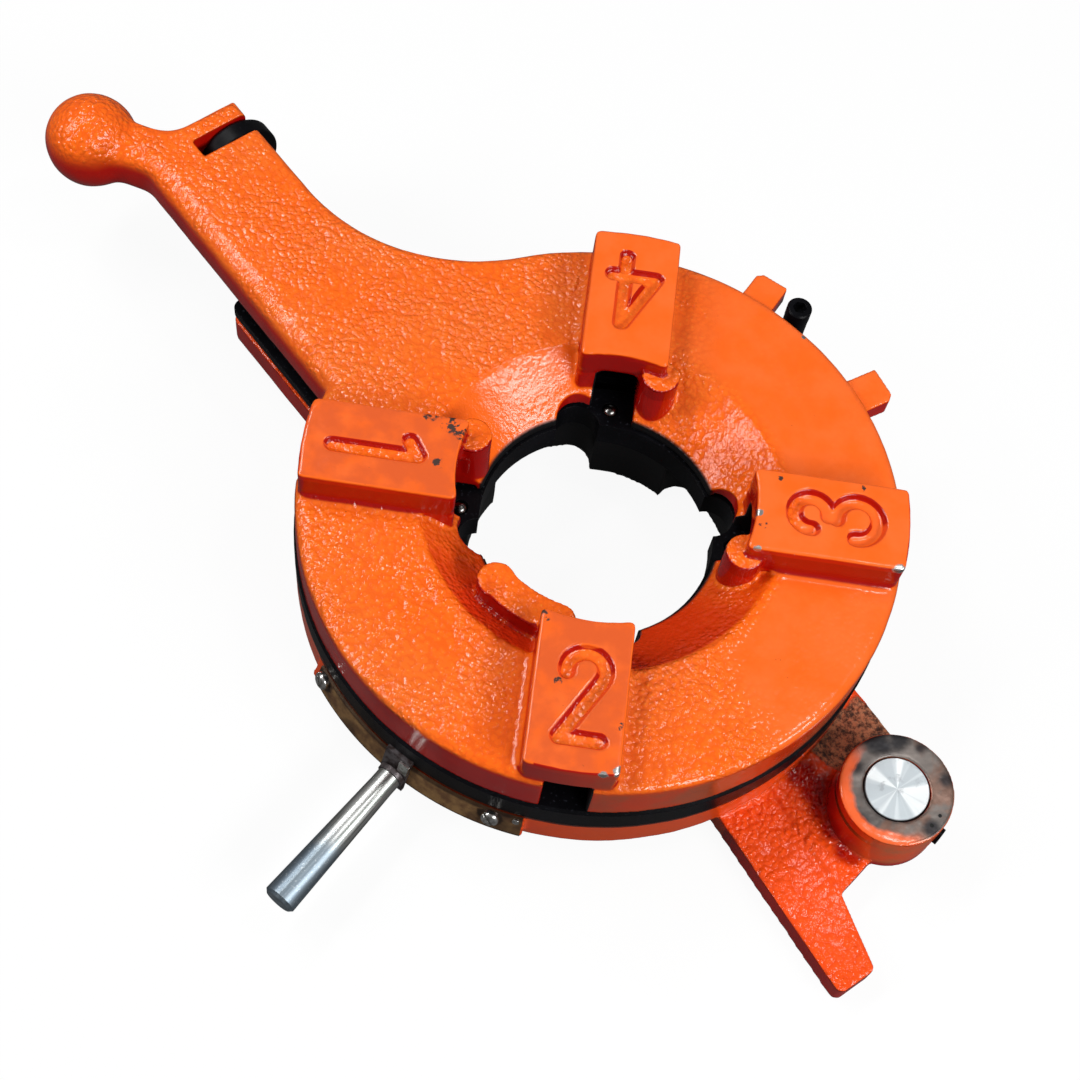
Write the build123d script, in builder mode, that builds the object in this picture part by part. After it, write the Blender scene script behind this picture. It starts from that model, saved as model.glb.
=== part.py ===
from build123d import *
import os
from math import atan, cos, degrees, radians, sin, sqrt, tan

# Pipe threading die head, in millimetres. +Z runs up along the pipe's axis, the origin is on that
# axis at the plane that the rear face rests on, +X points to chaser block 3 and +Y to block 4.

os.makedirs("parts", exist_ok=True)

# Stack of rings, from the rear face upwards
rear_step_height = 7.5
rear_step_radius = 82.0
rear_rim_height = 15.7
rear_rim_radius = 93.0
rear_rim_rounding = 2.0
cam_thickness = 10.3
cam_radius = 93.1
cam_bevel = 0.9
front_thickness = 17.4
front_radius = 92.5
front_shoulder_rounding = 3.0
face_gap = 0.1
rear_top = rear_step_height + rear_rim_height
cam_bottom = rear_top + face_gap
cam_top = cam_bottom + cam_thickness
front_bottom = cam_top + face_gap
front_top = front_bottom + front_thickness

# Pipe bore through the three rings
front_bore_radius = 37.5
front_bore_height = 3.3
cone_mouth_radius = 56.0
cam_bore_radius = 36.6
chip_notch_radius = 7.0
chip_notch_angle = 15.5
rear_bore_radius = 39.0
rear_lobe_radius = 48.0
rear_lobe_depth = 14.0
rear_lobe_angle = 30.5
rear_lobe_arc = 33.0

# Registers that centre the rings, and the pocket in the rear face
register_inner_radius = 50.5
register_width = 4.0
register_height = 3.0
register_clearance = 0.25
pocket_depth = 9.0
pocket_inside_screws = 10.5
pocket_outside_screws = 12.5
pocket_rib_width = 7.0
pocket_rib_angle = 10.0

# How far the rings turn on the rear body, in degrees from the closed position shown
front_turn_open = 15.0
front_turn_shut = 1.4
cam_turn_forward = 13.0
cam_turn_back = 15.0

# Chaser blocks and slots, in a frame that points outwards along each block
quarter_angles = [0, 90, 180, 270]
block_height = 11.8
block_width = 27.5
block_side = -0.85
block_inner_radius = 45.0
block_outer_radius = 91.4
block_corner_rounding = 1.6
block_edge_rounding = 0.8
chaser_slot_width = 13.5
chaser_slot_side = -0.35
block_top = front_top + block_height

# Lugs at the inner ends of the blocks
inner_lug_radius = 6.0
inner_lug_reaches = {0: 43.5, 90: 43.5, 180: 41.7}
inner_lug_side = -13.0
inner_lug_height = 5.9
tongue_width = 10.5
tongue_path_radius = 42.8
tongue_start_angle = 258.0
tongue_arc = -29.5
tongue_height = 2.2
tongue_knob_radius = 5.9

# Numbers cut into the blocks
number_reach = 69.4
number_size = 13.0
stroke_width = 4.8
stroke_depth = 2.3
stroke_draft = 18.0

# Stop lugs on the rim as angle, width and cut side, and the stop screw between them
stop_lugs = [(62.9, 11.2, 1), (34.6, 12.2, -1)]
stop_lug_length = 20.0
stop_lug_reach = 103.6
stop_lug_corner = 2.0
stop_lug_bottom = 40.6
stop_lug_thickness = 7.6
stop_screw_angle = 55.8
stop_screw_reach = 100.3
stop_screw_head_radius = 4.1
stop_screw_head_height = 5.0
stop_screw_top = 48.0
stop_screw_radius = 2.5
stop_sleeve_radius = 4.0
stop_ear_radius = 7.0
socket_depth = 2.6

# Arm, in a frame that points outwards along it
arm_angle = 134.7
arm_inner_edge = 6.1
arm_width = 39.3
arm_sweep_radius = 65.0
arm_slot_start = 174.6
arm_slot_width = 7.3
arm_slot_depth = 21.1
ear_thickness = 7.4
neck_width = 16.4
neck_angle = 32.3
neck_bottom_rounding = 5.0
elbow_rounding = 9.0
ear_root_rounding = 12.0
arm_outer_rounding = 6.5
ball_joint_rounding = 6.0
ball_radius = 15.25
ball_along = 205.8
ball_side = 51.0
ball_height = 43.0
arm_outer_edge = arm_inner_edge + arm_width
ear_end = arm_slot_start + arm_slot_width + ear_thickness

# Roller in the arm's slot
roller_radius = 13.8
roller_gap = 0.4
roller_edge_rounding = 1.0
roller_side = 12.7
roller_height = 36.2
roller_pin_radius = 3.0
roller_pin_grip = 6.0
roller_boss_radius = 6.5
running_clearance = 0.05
roller_width = arm_slot_width - 2 * roller_gap
roller_centre = arm_slot_start + arm_slot_width / 2

# Tongues of the rear body and of the cam disc under the arm, in the arm's frame
under_arm_reach = 136.2
under_arm_width = 30.0
under_arm_edge = 44.6
under_arm_rounding = 3.5
rear_tongue_bottom = 9.8
rear_tongue_thickness = 10.4
cam_tongue_thickness = 3.0

# Leg, web and pivot boss, in a frame that points outwards along the leg
leg_angle = -48.9
leg_thickness = 9.2
leg_root_reach = 50.0
leg_root_edge = -13.9
leg_tip_edge = -17.4
leg_reach = 154.6
leg_tip_width = 13.6
leg_shoulder_reach = 131.0
leg_shoulder_edge = 1.9
leg_crease_root_edge = 6.0
leg_corner_rounding = 2.5
web_thickness = 10.0
boss_along = 116.9
boss_side = 28.8
boss_radius = 17.6
boss_bottom = 7.0
boss_height = 21.0
boss_bevel = 0.6
pin_radius = 10.15
pin_journal_radius = 9.0
pin_clearance = 0.05
pin_bevel = 1.0
journal_clearance_radius = 12.0
set_screw_angle = -32.0
set_screw_radius = 2.75
set_screw_height = 19.0
set_screw_proud = 1.0
set_screw_point_radius = 1.6
set_screw_point = 0.8

# Sloping pad on the rim, with the scale strip, its screws and its rivet
pad_start_angle = -146.5
pad_arc = 50.5
pad_top_height = 22.4
pad_bottom_height = 12.0
pad_bottom_radius = 95.9
strip_thickness = 0.8
strip_top_height = 21.9
strip_bottom_height = 13.8
strip_start_angle = -144.7
strip_arc = 48.3
strip_screw_angles = [-142.6, -102.2]
strip_screw_height = 19.4
strip_screw_head_radius = 2.8
strip_screw_head_height = 2.2
strip_screw_radius = 1.4
strip_screw_length = 7.0
strip_screw_slot = 0.8
rivet_angle = -97.6
rivet_height = 20.6
rivet_radius = 1.1
thread_clearance = 0.05
thread_end = 1.0
near_enough = 0.01
pad_slope = (pad_bottom_radius - rear_rim_radius) / (pad_top_height - pad_bottom_height)
pad_tilt = degrees(atan(pad_slope))

# Clamp saddle, index tab and size rod, in a frame that points outwards along the rod
rod_angle = -121.5
rod_height = 16.0
saddle_width = 9.2
saddle_turn = 4.0
saddle_gap = 0.25
saddle_thickness = 1.2
saddle_bottom = 11.4
saddle_foot_thickness = 2.0
saddle_foot_start = 86.5
saddle_screw_radius = 1.3
saddle_screw_head_radius = 1.9
saddle_screw_length = 7.0
saddle_screw_spacing = 4.4
tab_width = 3.4
tab_bottom = 20.4
tab_height = 4.2
tab_thickness = 0.8
rod_boss_radius = 4.4
rod_boss_reach = 98.2
rod_stud_start = 96.5
rod_stud_radius = 3.0
rod_root_radius = 3.9
rod_tip_radius = 5.15
rod_tip_reach = 147.5
rod_tip_bevel = 0.9
rod_neck_length = 4.0

# Balls that hold the chasers, and their springs
detent_reach = 42.7
detent_ball_radius = 2.5
detent_proud = 1.2
detent_pocket_clearance = 0.1
detent_pocket_depth = 8.0
detent_groove_clearance = 0.7
spring_coil_radius = 1.7
spring_wire_radius = 0.3
spring_turns = 4
detent_ball_height = cam_top + detent_proud - detent_ball_radius

# Cam grooves that move the chasers
cam_groove_width = 6.0
cam_groove_depth = 3.0
cam_groove_start_radius = 74.0
cam_groove_end_radius = 84.0
cam_groove_start_angle = -24.0
cam_groove_end_angle = 36.0

# Shoulder screws that hold the stack together
guide_reach = 63.5
pocket_inner_radius = guide_reach - pocket_inside_screws
pocket_outer_radius = guide_reach + pocket_outside_screws
guide_angle = 45.0
guide_shoulder_radius = 3.0
guide_thread_radius = 2.5
guide_thread_length = 9.0
guide_clearance = 0.4
guide_end_margin = 0.6
guide_head_radius = 5.0
guide_head_height = 4.2
washer_radius = 6.4
washer_thickness = 1.4


def across(angle, height):
    """Level plane whose x direction points outwards at this angle."""
    outwards = (cos(radians(angle)), sin(radians(angle)), 0)
    return Plane(origin=(0, 0, height), x_dir=outwards, z_dir=(0, 0, 1))


def upright(angle):
    """Upright plane through the axis: x points outwards at this angle, y points up."""
    outwards = (cos(radians(angle)), sin(radians(angle)), 0)
    return Plane(origin=(0, 0, 0), x_dir=outwards, z_dir=(sin(radians(angle)), -cos(radians(angle)), 0))


def facing_out(angle, reach, height):
    """Plane square to a radius at this angle, with its normal pointing outwards."""
    return across(angle, height).location * Location((reach, 0, 0), (0, 90, 0))


def pad_radius(height):
    """Radius of the sloping pad at this height."""
    return rear_rim_radius + pad_slope * (pad_top_height - height)


def on_pad(angle, height, proud):
    """Plane square to the sloping pad, this far off its face, with its normal pointing outwards."""
    tilted = facing_out(angle, pad_radius(height), height) * Location((0, 0, 0), (0, -pad_tilt, 0))
    return tilted * Location((0, 0, proud))


def arc_slot(reach, start, end, width):
    """Curved slot about the axis, drawn into the open sketch."""
    return SlotArc(CenterArc((0, 0), reach, start, end - start), width)


def beyond_arm(edge):
    """How far the middle of an edge lies beyond the arm's outer side."""
    return across(arm_angle, 0).to_local_coords(edge @ 0.5).Y - arm_outer_edge


def save(piece, name):
    """Label a finished piece and write it."""
    piece.part.label = name
    export_step(piece.part, f"parts/{name}.step")


# Rear body: ring, tongue under the arm, stop ear, leg, web and pivot boss in one casting
with BuildPart() as rear_body:
    with BuildSketch(Plane.XY.offset(rear_step_height)):
        Circle(rear_rim_radius)
    extrude(amount=rear_rim_height)
    fillet(rear_body.edges().group_by(Axis.Z)[0], rear_rim_rounding)
    with BuildSketch():
        Circle(rear_step_radius)
    extrude(amount=rear_top)
    with BuildSketch(across(arm_angle, rear_tongue_bottom)) as rear_tongue:
        with Locations((under_arm_reach / 2, under_arm_edge - under_arm_width / 2)):
            Rectangle(under_arm_reach, under_arm_width)
        fillet(rear_tongue.vertices().group_by(Axis.X)[-1], under_arm_rounding)
    extrude(amount=rear_tongue_thickness)
    with BuildSketch(across(stop_screw_angle, rear_step_height)):
        with Locations((stop_screw_reach, 0)):
            Circle(stop_ear_radius)
        with Locations((stop_screw_reach - stop_ear_radius, 0)):
            Rectangle(2 * stop_ear_radius, 2 * stop_ear_radius)
    extrude(amount=rear_rim_height)
    with BuildSketch(across(leg_angle, 0)) as leg:
        with BuildLine():
            Polyline(
                (leg_root_reach, leg_root_edge),
                (leg_reach, leg_tip_edge),
                (leg_reach, leg_tip_edge + leg_tip_width),
                (leg_shoulder_reach, leg_shoulder_edge),
                (leg_root_reach, leg_crease_root_edge),
                close=True,
            )
        make_face()
        fillet(leg.vertices().group_by(Axis.X)[-1], leg_corner_rounding)
    extrude(amount=leg_thickness)
    with BuildSketch(across(leg_angle, 0)):
        with BuildLine():
            Polyline(
                (leg_root_reach, leg_crease_root_edge),
                (leg_shoulder_reach, leg_shoulder_edge),
                (boss_along + boss_radius * cos(radians(-50)), boss_side + boss_radius * sin(radians(-50))),
                (boss_along, boss_side),
                (boss_along, boss_side + boss_radius),
                (leg_root_reach, boss_side + boss_radius),
                close=True,
            )
        make_face()
    extrude(amount=web_thickness)
    with BuildSketch(across(leg_angle, boss_bottom)):
        with Locations((boss_along, boss_side)):
            Circle(boss_radius)
    extrude(amount=boss_height)
    chamfer(rear_body.edges().group_by(Axis.Z)[-1], boss_bevel)
    with BuildSketch(across(leg_angle, 0)):
        with Locations((boss_along, boss_side)):
            Circle(journal_clearance_radius)
    extrude(amount=boss_bottom, mode=Mode.SUBTRACT)
    with BuildSketch(across(leg_angle, 0)):
        with Locations((boss_along, boss_side)):
            Circle(pin_radius + pin_clearance)
    extrude(amount=boss_bottom + boss_height, mode=Mode.SUBTRACT)
    boss_centre = across(leg_angle, 0).from_local_coords((boss_along, boss_side, 0))
    set_screw_axis = Location(boss_centre) * facing_out(set_screw_angle, 0, set_screw_height)
    with BuildSketch(Plane(set_screw_axis)):
        Circle(set_screw_radius + thread_clearance)
    extrude(amount=2 * boss_radius, mode=Mode.SUBTRACT)
    # sloping pad for the scale strip
    with BuildSketch(upright(pad_start_angle)):
        with BuildLine():
            Polyline(
                (rear_step_radius, pad_bottom_height),
                (pad_bottom_radius, pad_bottom_height),
                (rear_rim_radius, pad_top_height),
                (rear_step_radius, pad_top_height),
                close=True,
            )
        make_face()
    revolve(axis=Axis.Z, revolution_arc=pad_arc)
    # lobed bore
    with BuildSketch():
        Circle(rear_bore_radius)
        for angle in quarter_angles:
            middle = angle + rear_lobe_angle
            arc_slot(rear_lobe_radius - rear_lobe_depth / 2, middle - rear_lobe_arc / 2,
                     middle + rear_lobe_arc / 2, rear_lobe_depth)
    extrude(amount=rear_top, mode=Mode.SUBTRACT)
    # pocket in the rear face, with four ribs
    with BuildSketch():
        Circle(pocket_outer_radius)
        Circle(pocket_inner_radius, mode=Mode.SUBTRACT)
        with Locations(Rotation(0, 0, pocket_rib_angle)):
            Rectangle(2 * pocket_outer_radius, pocket_rib_width, mode=Mode.SUBTRACT)
            Rectangle(pocket_rib_width, 2 * pocket_outer_radius, mode=Mode.SUBTRACT)
    extrude(amount=pocket_depth, mode=Mode.SUBTRACT)
    # register for the cam disc
    with BuildSketch(Plane.XY.offset(rear_top)):
        Circle(register_inner_radius + register_width)
        Circle(register_inner_radius, mode=Mode.SUBTRACT)
    extrude(amount=register_height)
    # arc slots for the guide screws
    with BuildSketch():
        for angle in quarter_angles:
            arc_slot(guide_reach, angle + guide_angle - front_turn_shut - guide_end_margin,
                     angle + guide_angle + front_turn_open + guide_end_margin,
                     2 * (guide_shoulder_radius + guide_clearance))
    extrude(amount=rear_top, mode=Mode.SUBTRACT)
    # threaded holes for the stop screw, the strip screws and the rivet
    with BuildSketch(across(stop_screw_angle, rear_step_height + thread_end)):
        with Locations((stop_screw_reach, 0)):
            Circle(stop_screw_radius + thread_clearance)
    extrude(amount=rear_rim_height, mode=Mode.SUBTRACT)
    for angle in strip_screw_angles:
        with BuildSketch(Plane(on_pad(angle, strip_screw_height, -strip_screw_length))):
            Circle(strip_screw_radius + thread_clearance)
        extrude(amount=2 * strip_screw_length, mode=Mode.SUBTRACT)
    with BuildSketch(Plane(on_pad(rivet_angle, rivet_height, -strip_screw_length / 2))):
        Circle(rivet_radius / 2 + thread_clearance)
    extrude(amount=strip_screw_length, mode=Mode.SUBTRACT)
save(rear_body, "rear_body")

# Pivot pin with its free journal below the boss
with BuildPart() as pivot_pin:
    with BuildSketch(across(leg_angle, 0)):
        with Locations((boss_along, boss_side)):
            Circle(pin_journal_radius)
    extrude(amount=boss_bottom)
    chamfer(pivot_pin.edges().group_by(Axis.Z)[0], pin_bevel)
    with BuildSketch(across(leg_angle, boss_bottom)):
        with Locations((boss_along, boss_side)):
            Circle(pin_radius)
    extrude(amount=boss_height)
    chamfer(pivot_pin.edges().group_by(Axis.Z)[-1], boss_bevel)
    with BuildSketch(Plane(set_screw_axis * Location((0, 0, pin_radius - set_screw_point)))):
        Circle(set_screw_point_radius + thread_clearance)
    extrude(amount=pin_radius, mode=Mode.SUBTRACT)
save(pivot_pin, "pivot_pin")

# Socket set screw that holds the pin
with BuildPart() as pivot_set_screw:
    with BuildSketch(Plane(set_screw_axis * Location((0, 0, pin_radius + pin_clearance)))):
        Circle(set_screw_radius)
    extrude(amount=boss_radius + set_screw_proud - pin_radius - pin_clearance)
    with BuildSketch(Plane(set_screw_axis * Location((0, 0, pin_radius - set_screw_point + thread_clearance)))):
        Circle(set_screw_point_radius)
    extrude(amount=set_screw_point + set_screw_proud)
    with BuildSketch(Plane(set_screw_axis * Location((0, 0, boss_radius + set_screw_proud)))):
        RegularPolygon(set_screw_radius / 2, 6)
    extrude(amount=-socket_depth, mode=Mode.SUBTRACT)
save(pivot_set_screw, "pivot_set_screw")

# Scale strip on the rim of the rear body
with BuildPart() as scale_strip:
    with BuildSketch(upright(strip_start_angle)):
        with BuildLine():
            Polyline(
                (pad_radius(strip_bottom_height), strip_bottom_height),
                (pad_radius(strip_bottom_height) + strip_thickness, strip_bottom_height),
                (pad_radius(strip_top_height) + strip_thickness, strip_top_height),
                (pad_radius(strip_top_height), strip_top_height),
                close=True,
            )
        make_face()
    revolve(axis=Axis.Z, revolution_arc=strip_arc)
    for angle in strip_screw_angles:
        with BuildSketch(Plane(on_pad(angle, strip_screw_height, -strip_thickness))):
            Circle(strip_screw_radius + thread_clearance)
        extrude(amount=3 * strip_thickness, mode=Mode.SUBTRACT)
    with BuildSketch(Plane(on_pad(rivet_angle, rivet_height, -strip_thickness))):
        Circle(rivet_radius / 2 + thread_clearance)
    extrude(amount=3 * strip_thickness, mode=Mode.SUBTRACT)
save(scale_strip, "scale_strip")

# Pan-head screws of the strip
with BuildPart() as strip_screws:
    for angle in strip_screw_angles:
        seat = on_pad(angle, strip_screw_height, strip_thickness)
        with BuildSketch(Plane(seat)):
            Circle(strip_screw_head_radius)
        extrude(amount=strip_screw_head_height)
        head_centre = (seat * Location((0, 0, strip_screw_head_height))).position
        head_rim = strip_screws.edges().filter_by(GeomType.CIRCLE).sort_by_distance(head_centre)[0]
        fillet(head_rim, strip_screw_head_height / 2)
        with BuildSketch(Plane(seat)):
            Circle(strip_screw_radius)
        extrude(amount=strip_thickness - strip_screw_length)
        with BuildSketch(Plane(seat * Location((0, 0, strip_screw_head_height)))):
            Rectangle(2 * strip_screw_head_radius, strip_screw_slot, rotation=40)
        extrude(amount=-strip_screw_head_height / 2, mode=Mode.SUBTRACT)
save(strip_screws, "strip_screws")

# Rivet at the end of the strip
with BuildPart() as strip_rivet:
    rivet_seat = on_pad(rivet_angle, rivet_height, strip_thickness)
    with BuildSketch(Plane(rivet_seat)):
        Circle(rivet_radius)
    extrude(amount=rivet_radius / 2)
    with BuildSketch(Plane(rivet_seat)):
        Circle(rivet_radius / 2)
    extrude(amount=-strip_thickness - strip_screw_length / 4)
save(strip_rivet, "strip_rivet")

# Stop screw and its sleeve on the ear
with BuildPart() as stop_screw:
    head_seat = stop_screw_top - stop_screw_head_height
    with BuildSketch(across(stop_screw_angle, rear_step_height + 2 * thread_end)):
        with Locations((stop_screw_reach, 0)):
            Circle(stop_screw_radius)
    extrude(amount=head_seat - rear_step_height - 2 * thread_end)
    with BuildSketch(across(stop_screw_angle, head_seat)):
        with Locations((stop_screw_reach, 0)):
            Circle(stop_screw_head_radius)
    extrude(amount=stop_screw_head_height)
    chamfer(stop_screw.edges().group_by(Axis.Z)[-1], stop_screw_head_height / 10)
    with BuildSketch(across(stop_screw_angle, stop_screw_top)):
        with Locations((stop_screw_reach, 0)):
            RegularPolygon(stop_screw_radius * 0.95, 6)
    extrude(amount=-socket_depth, mode=Mode.SUBTRACT)
save(stop_screw, "stop_screw")

with BuildPart() as stop_sleeve:
    with BuildSketch(across(stop_screw_angle, rear_top)):
        with Locations((stop_screw_reach, 0)):
            Circle(stop_sleeve_radius)
            Circle(stop_screw_radius + thread_clearance, mode=Mode.SUBTRACT)
    extrude(amount=stop_screw_top - stop_screw_head_height - rear_top)
save(stop_sleeve, "stop_sleeve")

# Cam disc between the castings
with BuildPart() as cam_disc:
    with BuildSketch(Plane.XY.offset(cam_bottom)):
        Circle(cam_radius)
    extrude(amount=cam_thickness)
    chamfer(cam_disc.edges().group_by(Axis.Z)[-1], cam_bevel)
    with BuildSketch(across(arm_angle, cam_bottom)) as cam_tongue:
        with Locations((under_arm_reach / 2, under_arm_edge - under_arm_width / 2)):
            Rectangle(under_arm_reach, under_arm_width)
        fillet(cam_tongue.vertices().group_by(Axis.X)[-1], under_arm_rounding)
    extrude(amount=cam_tongue_thickness)
    with BuildSketch(Plane.XY.offset(cam_bottom)):
        Circle(cam_bore_radius)
        for angle in quarter_angles:
            with Locations(across(angle + chip_notch_angle, 0).from_local_coords((cam_bore_radius, 0, 0))):
                Circle(chip_notch_radius)
    extrude(amount=cam_thickness, mode=Mode.SUBTRACT)
    # grooves for the two registers
    for level, direction in ((cam_bottom, 1), (cam_top, -1)):
        with BuildSketch(Plane.XY.offset(level)):
            Circle(register_inner_radius + register_width + register_clearance)
            Circle(register_inner_radius - register_clearance, mode=Mode.SUBTRACT)
        extrude(amount=direction * (register_height + face_gap), mode=Mode.SUBTRACT)
    # cam grooves, each an arc that runs outwards
    for angle in quarter_angles:
        middle_angle = (cam_groove_start_angle + cam_groove_end_angle) / 2
        middle_radius = (cam_groove_start_radius + cam_groove_end_radius) / 2
        with BuildSketch(across(angle, cam_top)):
            SlotArc(
                ThreePointArc(
                    Vector(cam_groove_start_radius, 0).rotate(Axis.Z, cam_groove_start_angle),
                    Vector(middle_radius, 0).rotate(Axis.Z, middle_angle),
                    Vector(cam_groove_end_radius, 0).rotate(Axis.Z, cam_groove_end_angle),
                ),
                cam_groove_width,
            )
        extrude(amount=-cam_groove_depth, mode=Mode.SUBTRACT)
    # arc slots for the guide screws
    with BuildSketch(Plane.XY.offset(cam_bottom)):
        for angle in quarter_angles:
            arc_slot(guide_reach,
                     angle + guide_angle - front_turn_shut - cam_turn_forward - guide_end_margin,
                     angle + guide_angle + front_turn_open + cam_turn_back + guide_end_margin,
                     2 * (guide_shoulder_radius + guide_clearance))
    extrude(amount=cam_thickness, mode=Mode.SUBTRACT)
    # pockets for the balls
    for angle in quarter_angles:
        with BuildSketch(across(angle, cam_top)):
            with Locations((detent_reach, 0)):
                Circle(detent_ball_radius + detent_pocket_clearance)
        extrude(amount=-detent_pocket_depth, mode=Mode.SUBTRACT)
    # seat of the clamp saddle in the rim
    with BuildSketch(across(rod_angle, cam_bottom)):
        with Locations((saddle_foot_start + cam_radius / 2, 0)):
            Rectangle(cam_radius, saddle_width)
    extrude(amount=saddle_foot_thickness, mode=Mode.SUBTRACT)
    with BuildSketch(across(rod_angle, cam_bottom)):
        with Locations(((saddle_foot_start + cam_radius) / 2, 0)):
            with GridLocations(0, saddle_screw_spacing, 1, 2):
                Circle(saddle_screw_radius + thread_clearance)
    extrude(amount=saddle_screw_length + thread_end, mode=Mode.SUBTRACT)
save(cam_disc, "cam_disc")

# Clamp saddle: foot under the cam disc and plate over the strip
with BuildPart() as clamp_saddle:
    saddle_top = cam_bottom + saddle_foot_thickness
    saddle_reach = strip_thickness + saddle_gap + saddle_thickness
    with BuildSketch(upright(rod_angle - saddle_turn)):
        with BuildLine():
            Polyline(
                (saddle_foot_start + saddle_gap, cam_bottom),
                (pad_radius(cam_bottom) + strip_thickness + saddle_gap, cam_bottom),
                (pad_radius(saddle_bottom) + strip_thickness + saddle_gap, saddle_bottom),
                (pad_radius(saddle_bottom) + saddle_reach, saddle_bottom),
                (pad_radius(saddle_top) + saddle_reach, saddle_top),
                (saddle_foot_start + saddle_gap, saddle_top),
                close=True,
            )
        make_face()
    revolve(axis=Axis.Z, revolution_arc=2 * saddle_turn)
    with BuildSketch(Plane(facing_out(rod_angle, rod_stud_start, rod_height))):
        Circle(rod_boss_radius)
    extrude(amount=rod_boss_reach - rod_stud_start)
    with BuildSketch(across(rod_angle, saddle_bottom)):
        with Locations((rod_boss_reach, 0)):
            Rectangle(rod_boss_reach, saddle_width)
    extrude(amount=saddle_top - saddle_bottom, mode=Mode.INTERSECT)
    with BuildSketch(Plane(facing_out(rod_angle, rear_rim_radius, rod_height))):
        Circle(rod_stud_radius + running_clearance)
    extrude(amount=rod_boss_reach - rear_rim_radius, mode=Mode.SUBTRACT)
    with BuildSketch(across(rod_angle, cam_bottom)):
        with Locations(((saddle_foot_start + cam_radius) / 2, 0)):
            with GridLocations(0, saddle_screw_spacing, 1, 2):
                Circle(saddle_screw_radius + thread_clearance)
    extrude(amount=saddle_foot_thickness, mode=Mode.SUBTRACT)
    with BuildSketch(across(rod_angle, cam_bottom)):
        with Locations(((saddle_foot_start + cam_radius) / 2, 0)):
            with GridLocations(0, saddle_screw_spacing, 1, 2):
                Circle(saddle_screw_head_radius + thread_clearance)
    extrude(amount=saddle_foot_thickness / 2, mode=Mode.SUBTRACT)
save(clamp_saddle, "clamp_saddle")

# Screws of the saddle, driven from below into the cam disc
with BuildPart() as saddle_screws:
    with BuildSketch(across(rod_angle, cam_bottom)):
        with Locations(((saddle_foot_start + cam_radius) / 2, 0)):
            with GridLocations(0, saddle_screw_spacing, 1, 2):
                Circle(saddle_screw_radius)
    extrude(amount=saddle_screw_length)
    with BuildSketch(across(rod_angle, cam_bottom)):
        with Locations(((saddle_foot_start + cam_radius) / 2, 0)):
            with GridLocations(0, saddle_screw_spacing, 1, 2):
                Circle(saddle_screw_head_radius)
    extrude(amount=saddle_foot_thickness / 2)
save(saddle_screws, "saddle_screws")

# Index tab on the saddle
with BuildPart() as index_tab:
    tab_side = (saddle_width - tab_width) / 2
    tab_top = tab_bottom + tab_height
    with BuildSketch(upright(rod_angle - saddle_turn)):
        with BuildLine():
            Polyline(
                (pad_radius(tab_bottom) + saddle_reach, tab_bottom),
                (pad_radius(tab_bottom) + saddle_reach + tab_thickness, tab_bottom),
                (pad_radius(tab_top) + saddle_reach + tab_thickness, tab_top),
                (pad_radius(tab_top) + saddle_reach, tab_top),
                close=True,
            )
        make_face()
    revolve(axis=Axis.Z, revolution_arc=2 * saddle_turn)
    with BuildSketch(across(rod_angle, tab_bottom)):
        with Locations((rod_boss_reach, tab_side)):
            Rectangle(rod_boss_reach, tab_width)
    extrude(amount=tab_height, mode=Mode.INTERSECT)
save(index_tab, "index_tab")

# Size rod: threaded stud in the saddle and tapered handle
with BuildPart() as size_rod:
    with BuildSketch(upright(rod_angle)):
        with BuildLine():
            handle_start = rod_boss_reach + face_gap
            Polyline(
                (rod_stud_start, rod_height),
                (rod_stud_start, rod_height + rod_stud_radius),
                (handle_start, rod_height + rod_stud_radius),
                (handle_start, rod_height + rod_root_radius),
                (handle_start + rod_neck_length, rod_height + rod_root_radius),
                (rod_tip_reach - rod_tip_bevel, rod_height + rod_tip_radius),
                (rod_tip_reach, rod_height + rod_tip_radius - rod_tip_bevel),
                (rod_tip_reach, rod_height),
                close=True,
            )
        make_face()
    rod_axis = Axis((0, 0, rod_height), (cos(radians(rod_angle)), sin(radians(rod_angle)), 0))
    revolve(axis=rod_axis)
save(size_rod, "size_rod")

# Balls in the chaser slots and their springs
for number, angle in enumerate([180, 270, 0, 90], start=1):
    pocket_floor = cam_top - detent_pocket_depth
    detent_centre = across(angle, detent_ball_height).from_local_coords((detent_reach, 0, 0))
    with BuildPart() as detent_ball:
        with Locations(detent_centre):
            Sphere(detent_ball_radius)
    save(detent_ball, f"detent_ball_{number}")
    reach_below = sqrt((detent_ball_radius + spring_wire_radius + running_clearance) ** 2 - spring_coil_radius**2)
    spring_bottom = pocket_floor + spring_wire_radius
    spring_height = detent_ball_height - reach_below - spring_bottom
    with BuildPart() as detent_spring:
        with BuildLine() as coil:
            Helix(
                pitch=spring_height / spring_turns,
                height=spring_height,
                radius=spring_coil_radius,
                center=(detent_centre.X, detent_centre.Y, spring_bottom),
            )
        with BuildSketch(Plane(origin=coil.line @ 0, z_dir=coil.line % 0)):
            Circle(spring_wire_radius)
        sweep(path=coil.line, is_frenet=True)
    save(detent_spring, f"detent_spring_{number}")


# Centre lines of the strokes as shares of the numbers' size, with y towards the bore
number_strokes = {
    180: [
        Line((0.03, -0.99), (0.03, 0.99)),
        Line((0.03, 0.99), (-0.35, 0.75)),
    ],
    270: [
        CenterArc((0.02, 0.67), 0.43, -35, 225),
        Line((0.38, 0.42), (-0.41, -0.92)),
        Line((-0.41, -0.92), (0.46, -0.92)),
    ],
    0: [
        CenterArc((0.015, 0.62), 0.4, -95, 280),
        CenterArc((-0.015, -0.46), 0.485, -185, 280),
    ],
    90: [
        Line((0.15, -0.97), (0.15, 0.95)),
        Line((0.11, 0.95), (-0.6, -0.42)),
        Line((-0.6, -0.42), (0.46, -0.42)),
    ],
}

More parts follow.
